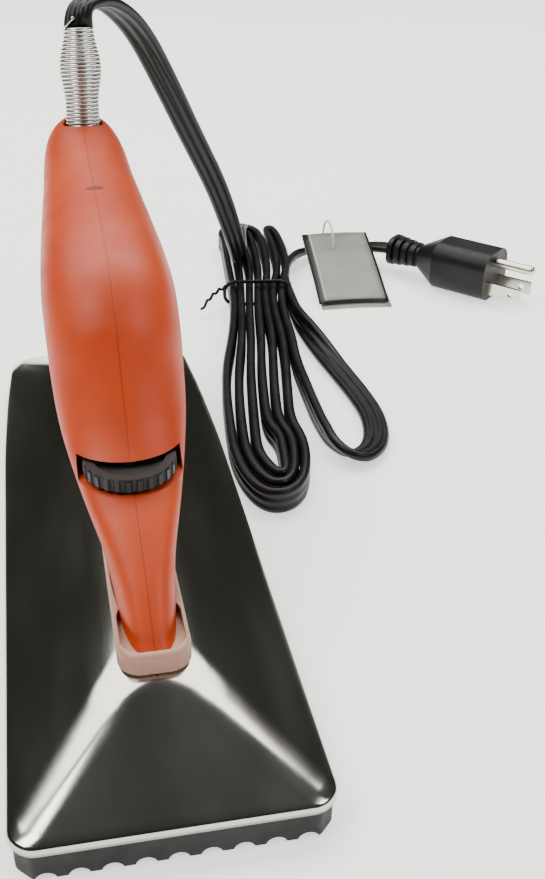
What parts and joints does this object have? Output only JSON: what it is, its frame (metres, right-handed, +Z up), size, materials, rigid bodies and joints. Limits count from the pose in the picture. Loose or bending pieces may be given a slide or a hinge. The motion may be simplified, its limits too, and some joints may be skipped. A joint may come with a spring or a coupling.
{
  "type": "carpet seaming iron",
  "caption": "Electric seaming iron: long ribbed sole, polished sloping hood, arched handle with a thumbwheel heat control, coil cord guard, tied flat cord and grounded plug.",
  "frame": {"origin": "centre of the iron's footprint, on the plane of the sole's ribs", "axes": "+X across the sole towards the tied cord, +Y from the toe to the heel, +Z up"},
  "size_m": [0.2655, 0.422, 0.1656],
  "materials": {
    "sole_coating": "black release coating on cast metal",
    "element_sheath": "heat-darkened",
    "plated_steel": "plated",
    "ceramic": "unglazed",
    "sheet_steel": "bare sheet",
    "zinc_hardware": "zinc plated",
    "shield_sheet": "rolled sheet",
    "glass_felt": "needled felt",
    "hood_polish": "polished plating",
    "collar_lens": "translucent",
    "handle_orange": "moulded, fine grain",
    "brass_parts": "turned",
    "bimetal": "rolled",
    "contact_bronze": "rolled",
    "contact_silver": "satin",
    "wheel_black": "moulded",
    "fibre_washer": "fibre",
    "lamp_glass": "clear",
    "resistor_body": "lacquered",
    "nylon_white": "moulded",
    "conductor_sleeves": "extruded",
    "lead_black": "extruded",
    "lead_green": "extruded",
    "lead_white": "extruded",
    "cord_jacket": "satin",
    "spring_nickel": "nickel plated wire",
    "tie_wire": "coated wire",
    "tag_card": "coated card",
    "tag_nylon": "translucent",
    "plug_rubber": "moulded satin",
    "blade_metal": "plated"
  },
  "bodies": {
    "iron": {"sole_plate": "sole_coating", "heating_element": "element_sheath", "element_terminals": "plated_steel", "terminal_insulators": "ceramic", "element_saddles": "sheet_steel", "element_saddle_screws": "zinc_hardware", "heat_shield": "shield_sheet", "insulation_blanket": "glass_felt", "post_spacers": "plated_steel", "post_bolts": "zinc_hardware", "hood": "hood_polish", "hood_screw": "zinc_hardware", "hood_nut_plate": "sheet_steel", "mounting_bracket": "sheet_steel", "lens_collar": "collar_lens", "handle_left_shell": "handle_orange", "handle_right_shell": "handle_orange", "handle_screws": "zinc_hardware", "thermostat_frame": "sheet_steel", "ceramic_stack": "ceramic", "stack_rivet": "brass_parts", "bimetal_strip": "bimetal", "lower_contact_blade": "contact_bronze", "upper_contact_blade": "contact_bronze", "contact_rivets": "contact_silver", "spindle_bush": "brass_parts", "friction_washer": "fibre_washer", "neon_lamp": "lamp_glass", "lamp_resistor": "resistor_body", "terminal_block": "nylon_white", "terminal_screws": "brass_parts", "cord_conductors": "conductor_sleeves", "live_lead": "lead_black", "earth_lead": "lead_green", "neutral_lead": "lead_white", "cord_clamp": "nylon_white", "inner_lead": "cord_jacket", "cord_guard_spring": "spring_nickel", "cord_run": "cord_jacket", "cord_hank": "cord_jacket", "cord_loop": "cord_jacket", "cord_lead": "cord_jacket", "cord_tie": "tie_wire", "cord_tag": "tag_card", "tag_strap": "tag_nylon", "plug_strain_relief": "plug_rubber", "plug_body": "plug_rubber", "plug_line_blade": "blade_metal", "plug_neutral_blade": "blade_metal", "plug_ground_pin": "blade_metal"},
    "control": {"thumbwheel": "wheel_black", "control_spindle": "plated_steel", "spindle_tip": "ceramic", "stop_collar": "brass_parts", "retaining_clip": "plated_steel"}
  },
  "joints": [
    {"name": "heat_control_turn", "type": "hinge", "parent": "iron", "child": "control", "pos_m": [0, -0.0435, 0.0625], "axis": [0, 0, 1], "range_deg": [-270, 0]}
  ]
}
